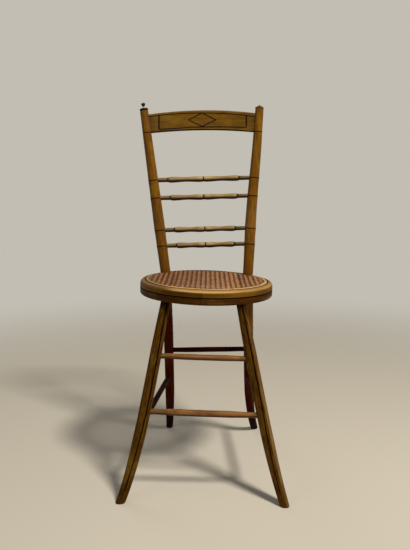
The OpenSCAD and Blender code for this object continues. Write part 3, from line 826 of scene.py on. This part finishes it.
def leg_piece(name, leg, side, finish, wear, line, seed):
    """A leg: a squared round section carried down a curved path.

    The section is a superellipse, whose cosine and sine are raised to 2 over the squareness. Its
    corners are paler as worn paint and painted light, the right-hand ones and the right leg's more.
    Painted shade under the seat darkens its top, and it is dirtier towards its foot.
    A painted line runs down the front alone. It thins below its middle and ends above the floor.
    """
    t = np.unique(np.concatenate([np.linspace(-0.004, 1, 110), np.linspace(0.96, 1, 14)]))
    centre = leg_path(leg, side, t)
    ahead = unit(leg_path(leg, side, t + 0.005) - leg_path(leg, side, t - 0.005))
    u = unit(np.array([1.0, 0.0, 0.0]) - ahead * ahead[:, :1])
    v = np.cross(ahead, u)
    angle = around(56)[None, :]
    bent_x = np.sign(np.cos(angle)) * np.abs(np.cos(angle)) ** (2 / SQUARENESS)
    bent_y = np.sign(np.sin(angle)) * np.abs(np.sin(angle)) ** (2 / SQUARENESS)
    s = t[:, None] * leg_top(leg, side)[2]
    under_seat, fullest, at_floor = leg[side][3]
    r = np.interp(t, (0, 0.25, 0.7, 1), (under_seat, fullest, fullest, at_floor))[:, None]
    r = r - FOOT_ROUND * ease((t[:, None] - 0.994) / 0.006) ** 2
    r = r + uneven(s, angle, seed, 0.15)
    across = (r * bent_x)[..., None] * u[:, None] + (r * bent_y)[..., None] * v[:, None]
    points = squared(centre[:, None] + across, centre, ahead, t)
    # worn paint and painted light: paler corners, the right-hand ones and the right leg's more
    corner = (0.42 if side == RIGHT else 0.24) * (np.abs(bent_x * bent_y) > 0.42)
    corner = corner * np.where(bent_x < 0, 0.45, 1.0)
    kept = ease(t / 0.1) * (1 - (0.3 if side == RIGHT else 0.6) * ease((t - 0.8) / 0.15))
    at_top, change, begin, over = wear
    worn = at_top + change * ease((t - begin) / over)
    rub = worn[:, None] + corner * kept[:, None]
    if line:
        offset = np.interp(t, line[0], line[1])[:, None]
        fading = (0.3 * ease((t - 0.4) / 0.2) + 3.0 * ease((t - 0.93) / 0.05))[:, None]
        drawn = np.where(np.sin(angle) > 0.05, np.abs(r * (bent_x - offset)), 99.0) + fading
    else:
        drawn = 99.0 + 0 * r
    grain = np.stack([r * bent_x, r * bent_y, s + 0 * r], -1) + 57.0 * seed
    # painted shade under the seat darkens the top
    soil = 0.95 * bell(t[:, None], 0.065 if side == RIGHT else 0.045) + 0 * r
    if line:
        soil = soil + (0.2 if side == RIGHT else 0.45) * ease((t[:, None] - 0.68) / 0.3)
    else:
        soil = soil + 0.9 * ease((t[:, None] - 0.62) / 0.3)
    shell = Shell(points, grain=grain, line=drawn, rub=rub, soil=soil)
    make_piece(name, shell, finish, [name], sharp=50.0)


# Wear: at the top, how much it changes, where that begins and over what share of the fall. The
# rear legs are paler towards their top, the right one more.
EVEN_WEAR = (0.08, 0.0, 0.0, 1.0)
WEAR_BELOW = (0.09, 0.16, 0.2, 0.45)
PALER_AT_TOP = (0.55, -0.55, 0.04, 0.22)
PALEST_AT_TOP = (1.0, -0.95, 0.12, 0.3)

leg_piece("front_left_leg", FRONT_LEG, LEFT, olive, EVEN_WEAR, LEFT_LINE, 1)
leg_piece("front_right_leg", FRONT_LEG, RIGHT, olive, WEAR_BELOW, RIGHT_LINE, 2)
leg_piece("rear_left_leg", REAR_LEG, LEFT, rear_paint, PALER_AT_TOP, None, 3)
leg_piece("rear_right_leg", REAR_LEG, RIGHT, rear_paint, PALEST_AT_TOP, None, 4)


# Rungs

def rung(name, start, end, mid_r, finish, slot, worn, seed):
    """A turned rung that swells from its ends. Feet have worn it down on top by about worn, in a
    bell curve along it, most a little to the left of its middle."""
    length = np.linalg.norm(end - start)
    s = np.linspace(1.0, length - 1.0, int(length / 3))
    from_end = length / 2 - np.abs(s - length / 2)
    swell = ease((from_end - 20) / (0.6 * (length / 2 - 20)))
    r = RUNG_END_R + (mid_r - RUNG_END_R) * swell

    def trodden(along):
        return bell(along - 0.46 * length, 0.27 * length)

    def wear(along, up):
        low = worn * trodden(along)
        return low * np.clip(up, 0, 1) ** 2 * (1 + 0.25 * np.sin(along / 9 + seed))

    shell = turned(start, end, s, r, (1.0, length - 1.0), seed=seed, sides=36, lumps=0.22,
                   squash=wear, from_end=from_end - 14.0, rub=0.1 * trodden(s),
                   soil=0.8 * bell(from_end - 12, 7.0))
    make_piece(name, shell, finish, [name])


def cross_ends(leg, heights):
    """Where a rung ends in the left and the right leg."""
    return leg_at(leg, LEFT, heights[0]), leg_at(leg, RIGHT, heights[1])


rung("front_upper_rung", *cross_ends(FRONT_LEG, UPPER_RUNG_Z), 7.75, rung_wood, "worn_wood", 1.1, 1)
rung("front_lower_rung", *cross_ends(FRONT_LEG, LOWER_RUNG_Z), 8.5, rung_wood, "worn_wood", 0.8, 2)
rung("rear_rung", *cross_ends(REAR_LEG, REAR_RUNG_Z), 7.25, dark_wood, "dark_wood", 0.0, 3)
for side_name, side in (("left_rung", LEFT), ("right_rung", RIGHT)):
    front_end = leg_at(FRONT_LEG, side, SIDE_RUNG_Z[0])
    rear_end = leg_at(REAR_LEG, side, SIDE_RUNG_Z[1])
    rung(side_name, front_end, rear_end, 7.25, dark_wood, "dark_wood", 0.0, 4 + side)


# Cane

dice = np.random.default_rng(7)


def strand(points, side_way, seed, wave, opening=0.0):
    """A flat strand with a rounded top, carried along a path of points.

    The path runs with side_way to its right and up above it. The five corners of its section
    are shares of the strand's width and thickness. Painted shade darkens it where the path's wave
    is low, where it dives under the binder, in a ring just inside the binder and where it crosses
    an opening of the weave. Its tone is drawn by chance, and painted shade makes the cane darker
    towards the left and the back.
    """
    across = np.array([0.5, 0.24, -0.24, -0.5, 0.0]) * STRAND_W
    lift = np.array([-0.1, 0.45, 0.45, -0.1, -0.45]) * STRAND_T
    section = points[:, None] + across[:, None] * side_way
    section = section + lift[:, None] * np.array([0.0, 0.0, 1.0])
    run = np.concatenate([[0], np.cumsum(np.linalg.norm(np.diff(points, axis=0), axis=1))])
    run = run[:, None]
    grain = np.stack([across + 0 * run, lift + 0 * run, run + 0 * across], -1)
    edge = np.array([1.0, 0.3, 0.3, 1.0, 0.8]) + 0 * run
    # painted shade: darker towards the left and the back, with a tone drawn by chance
    to_right = ease((points[:, 0] + 120) / 240)
    behind = ease(points[:, 1] / 140)
    tone = np.clip(0.5 * dice.uniform(0, 1) + 0.75 - 0.9 * to_right + 0.2 * behind, 0, 1)
    soiled = np.reshape(opening, (-1, 1)) + 0 * edge
    sunk = ease((0.35 - (np.reshape(wave, (-1, 1)) + lift + 0 * edge)) / 1.1)
    # painted shade in a ring just inside the binder
    rim = 0.6 * bell(np.hypot(points[:, 0], points[:, 1]) - 146.5, 4.0)[:, None]
    return Shell(on_seat(section), grain=grain + 13.7 * seed, edge=edge,
                 tone=tone[:, None] + 0 * edge, sunk=np.maximum(sunk, rim), open=soiled)


def seat_sag(x, y):
    """How far the old seat hangs: a bowl over the opening, a parabola across it."""
    return SEAT_SAG * np.clip(1 - (x ** 2 + y ** 2) / OPENING_R ** 2, 0, None)


def pair_wave(v):
    """Up at one strand of each pair and down at the other: a sine over the pair, else 0."""
    near = (v + PITCH / 2) % PITCH - PITCH / 2
    return np.where(np.abs(near) < 2 * PAIR, np.sin(np.pi * near / (2 * PAIR)), 0.0)


def opening_at(v):
    """0 on a pair and 1 midway to the next: a raised cosine of one pitch."""
    return (1 - np.cos(2 * np.pi * v / PITCH)) / 2


def weave_turned(u, v):
    """Turns a place or a direction of the weave to where it lies on the seat."""
    c, s = math.cos(WEAVE_TURN), math.sin(WEAVE_TURN)
    return u * c - v * s, u * s + v * c


def woven(u, v, z):
    """Points of the weave on the seat: shifted sideways, turned and hung."""
    x, y = weave_turned(u + WEAVE_SHIFT, v)
    return np.stack([x, y, z - seat_sag(x, y)], -1)


def woven_way(u, v):
    return np.array([*weave_turned(u, v), 0.0])


def strand_run(middle, reach, steps):
    """Places along a strand, which are its ends and the steps between, and its drop at each."""
    inner = steps[np.abs(steps - middle) < reach - 1]
    run = np.concatenate([[middle - reach], inner, [middle + reach]])
    return run, -END_DROP * (np.abs(run - middle) > reach - 0.5)


WEAVE_R = BINDER_R - 2.5
LIFT = 1.5 * STRAND_T + 0.1


def straight_strands(along_y):
    """Pairs of strands along one way, a pitch apart. A strand rises and falls by half its
    thickness where it crosses a pair of the other way: over one of them, under the other."""
    shells = []
    offsets = np.array([-2, -1, 0, 1, 2]) * PAIR
    offsets = np.append(offsets, PITCH / 2)
    crossed = np.arange(-PAIRS_EACH_WAY, PAIRS_EACH_WAY + 1) * PITCH
    places = np.sort(np.add.outer(crossed, offsets).ravel())
    for k in range(-PAIRS_EACH_WAY, PAIRS_EACH_WAY):
        for which in (-1, 1):
            fixed = k * PITCH + which * PAIR
            from_middle = fixed + (WEAVE_SHIFT if along_y else 0)
            reach = math.sqrt(max(WEAVE_R ** 2 - from_middle ** 2, 0))
            if reach < 20:
                continue
            run, ends = strand_run(0 if along_y else -WEAVE_SHIFT, reach, places)
            wave = which * 0.55 * STRAND_T * pair_wave(run) * (1 if along_y else -1)
            fixed_row = fixed + 0.12 * np.sin(run / 19 + k)
            u, v = (fixed_row, run) if along_y else (run, fixed_row)
            side_way = woven_way(1, 0) if along_y else woven_way(0, -1)
            # painted shade where the strand crosses an opening
            soiled = (0.32 if along_y else 0.75) * opening_at(run)
            points = woven(u, v, LIFT + wave + ends)
            shells.append(strand(points, side_way, k * 2 + which, wave + ends, soiled))
    return shells


def slanting_strands(slope):
    """Single strands at 45 degrees, half a pitch off the crossings of the pairs. One slope goes
    over the pairs that run front to back and under the others, and the other slope the other way:
    a cosine of one pitch."""
    shells = []
    quarters = round(SLANT_REACH / PITCH * 4)
    steps = np.arange(-quarters, quarters + 1) * PITCH / 4
    for k in range(-SLANTS_EACH_WAY, SLANTS_EACH_WAY):
        offset = (k + 0.5) * PITCH
        # the strand lies on u - slope v = offset, so the point nearest the middle has this u
        middle = (offset - WEAVE_SHIFT) / 2
        from_middle = abs(offset + WEAVE_SHIFT) / math.sqrt(2)
        if from_middle > WEAVE_R - 12:
            continue
        reach = math.sqrt((WEAVE_R ** 2 - from_middle ** 2) / 2)
        u, ends = strand_run(middle, reach, steps)
        v = slope * (u - offset)
        wave = slope * STRAND_T * np.cos(2 * np.pi * u / PITCH)
        side_way = woven_way(slope, -1.0) / math.sqrt(2)
        points = woven(u, v, LIFT + wave + ends)
        # painted shade where the strand crosses an opening
        shells.append(strand(points, side_way * slope, k + 50, wave + ends, 0.75 * opening_at(u)))
    return shells


def post_gap(side):
    """Angles round the seat between which a post stands on the binder."""
    foot = post_foot(side)
    angle = math.atan2(foot[1], foot[0] - SEAT_SHIFT)
    return angle - POST_CLEARANCE / BINDER_R, angle + POST_CLEARANCE / BINDER_R


def binder_length(start, end, seed):
    """A flat strip of wide cane laid round the seat over the strands' ends. It stands higher at
    the back. Painted shade darkens it towards the left, at the back, a little at the far right, on
    its underside and at its edges."""
    angle = np.linspace(start, end, int((end - start) * 60) + 2)
    turn = around(10)
    across = BINDER_HALF_W * np.cos(turn)
    lift = 1.0 + 0.9 * np.sin(turn) * (1 + 0.8 * ease(np.sin(angle[:, None])))
    r = BINDER_R + across + 0.25 * np.sin(9 * angle + seed)[:, None]
    points = polar(r, angle[:, None], lift)
    grain = np.stack([across + 0 * r, lift, angle[:, None] * BINDER_R + 0 * r], -1)
    edge = 0.7 * np.cos(turn) ** 4 + 0 * r
    # painted shade: towards the left, at the back and a little at the far right
    soiled = 0.75 * ease(1 - light_and_rub(angle) / 0.5) + 0.6 * ease(np.sin(angle) / 0.7)
    soiled = soiled + 0.16 * ease((light_and_rub(angle) - 0.8) / 0.2)
    # painted shade on the underside
    sunk = np.clip(-np.sin(turn), 0, 1) + 0 * edge
    return Shell(on_seat(points)[:, ::-1], grain=grain[:, ::-1] + seed, edge=edge[:, ::-1],
                 tone=0.2 + 0 * edge, sunk=sunk[:, ::-1],
                 open=np.clip(soiled, 0, 1)[:, None] + 0 * edge)


def lacing(angle, seed):
    """A short loop of cane that comes out of one hole, over the binder and back down."""
    u = np.linspace(-1, 1, 7)
    r = BINDER_R + 3.9 * u
    z = 2.3 * np.cos(0.5 * np.pi * u) ** 0.6
    skew = angle + 0.8 * u / BINDER_R
    side_way = np.array([math.sin(angle), -math.cos(angle), 0])
    return strand(polar(r, skew, z), side_way, seed, z - 1.3)


WAYS = (("cane_front_to_back", straight_strands, True),
        ("cane_side_to_side", straight_strands, False),
        ("cane_slanting_right", slanting_strands, 1),
        ("cane_slanting_left", slanting_strands, -1))
for way_name, strands, way in WAYS:
    make_piece(way_name, strands(way), cane_finish, ["cane_panel"], sharp=80.0)

right_gap, left_gap = post_gap(RIGHT), post_gap(LEFT)
binder = [binder_length(right_gap[1], left_gap[0], 1),
          binder_length(left_gap[1] - 2 * np.pi, right_gap[0], 2)]
holes = np.arange(0, 2 * np.pi, PITCH / BINDER_R)
for start, end in (right_gap, left_gap):
    holes = holes[(holes <= start - 0.02) | (holes >= end + 0.02)]
binder += [lacing(angle, number) for number, angle in enumerate(holes)]
make_piece("cane_binder", binder, binder_finish, ["cane_binder"], sharp=80.0)


# Hidden dowels keep their CAD shape and get the dark wood's finish
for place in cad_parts["seat_dowels"].material_slots:
    place.material = dark_wood


# Floor, light and camera

def studio_floor():
    """A plain pale disc under the chair that fades out with distance, clear from below."""
    mesh = bpy.data.meshes.new("floor")
    ring = polar(FLOOR_R, around(FLOOR_POINTS), np.zeros(FLOOR_POINTS))
    mesh.from_pydata(ring.tolist(), [], [list(range(FLOOR_POINTS))])
    f = Finish("floor_paper")
    place = f.node("ShaderNodeTexCoord", {}).outputs["Object"]
    reach = f.node("ShaderNodeVectorMath", {0: place}, operation="LENGTH")
    seen = f.fade(reach.outputs["Value"], 0.9, 2.6, 1.0, 0.0)
    above = f.calc("SUBTRACT", 1.0, f.node("ShaderNodeNewGeometry", {}).outputs["Backfacing"])
    f.fill(f.shader, {"Base Color": colour("#d3cbbb"), "Roughness": 0.9,
                      "Specular IOR Level": 0.1, "Alpha": f.calc("MULTIPLY", seen, above)})
    mesh.materials.append(f.material)
    floor = add_object("floor", mesh)


def soft_light(name, place, target, size, power, tint):
    """A round area light turned from its place to its target."""
    data = bpy.data.lights.new(name, "AREA")
    data.shape = "DISK"
    data.size = size
    data.energy = power
    data.color = tint
    lamp = add_object(name, data)
    lamp.location = place
    aim = np.array(target) - np.array(place)
    from_down = math.atan2(math.hypot(aim[0], aim[1]), -aim[2])
    lamp.rotation_euler = (from_down, 0.0, math.atan2(-aim[0], aim[1]))


studio_floor()
soft_light("key", (1.2, -1.15, 3.0), (0.0, 0.0, 0.5), 0.55, 92.0, (1.0, 0.95, 0.87))
soft_light("fill", (-1.9, -2.1, 1.5), (0.0, 0.0, 0.5), 2.0, 7.0, (0.97, 0.98, 1.0))
soft_light("back", (-1.5, 2.1, 2.5), (0.0, 0.0, 0.6), 1.6, 12.0, (1.0, 0.98, 0.95))


def studio_world():
    """The pale backdrop for what the camera, gloss and glass see, and a dimmer light for the rest."""
    world = bpy.data.worlds.new("studio")
    world.use_nodes = True
    tree = world.node_tree
    backdrop = tree.nodes["Background"]
    backdrop.inputs[0].default_value = colour("#c3beb3")
    ambient = tree.nodes.new("ShaderNodeBackground")
    ambient.inputs[0].default_value = (1.0, 0.97, 0.93, 1.0)
    ambient.inputs[1].default_value = 0.14
    rays = tree.nodes.new("ShaderNodeLightPath")
    link = tree.links.new
    seen = rays.outputs["Is Camera Ray"]
    for other in ("Is Glossy Ray", "Is Transmission Ray"):
        either = tree.nodes.new("ShaderNodeMath")
        either.operation = "MAXIMUM"
        link(seen, either.inputs[0])
        link(rays.outputs[other], either.inputs[1])
        seen = either.outputs[0]
    choice = tree.nodes.new("ShaderNodeMixShader")
    for number, source in enumerate((seen, ambient.outputs[0], backdrop.outputs[0])):
        link(source, choice.inputs[number])
    link(choice.outputs[0], tree.nodes["World Output"].inputs["Surface"])
    bpy.context.scene.world = world


studio_world()
bpy.context.scene.view_settings.view_transform = "Standard"

lens = bpy.data.cameras.new("camera")
lens.sensor_width = 36.0
lens.lens = CAMERA_LENS
camera = add_object("camera", lens)
camera.location = CAMERA_PLACE
camera.rotation_mode = "QUATERNION"
# panned from the way to +Y, tilted from straight down, and rolled
pan = Quaternion((0.0, 0.0, 1.0), CAMERA_PAN)
tilt = Quaternion((1.0, 0.0, 0.0), math.pi / 2 + CAMERA_TILT)
camera.rotation_quaternion = pan @ tilt @ Quaternion((0.0, 0.0, 1.0), CAMERA_ROLL)
bpy.context.scene.camera = camera
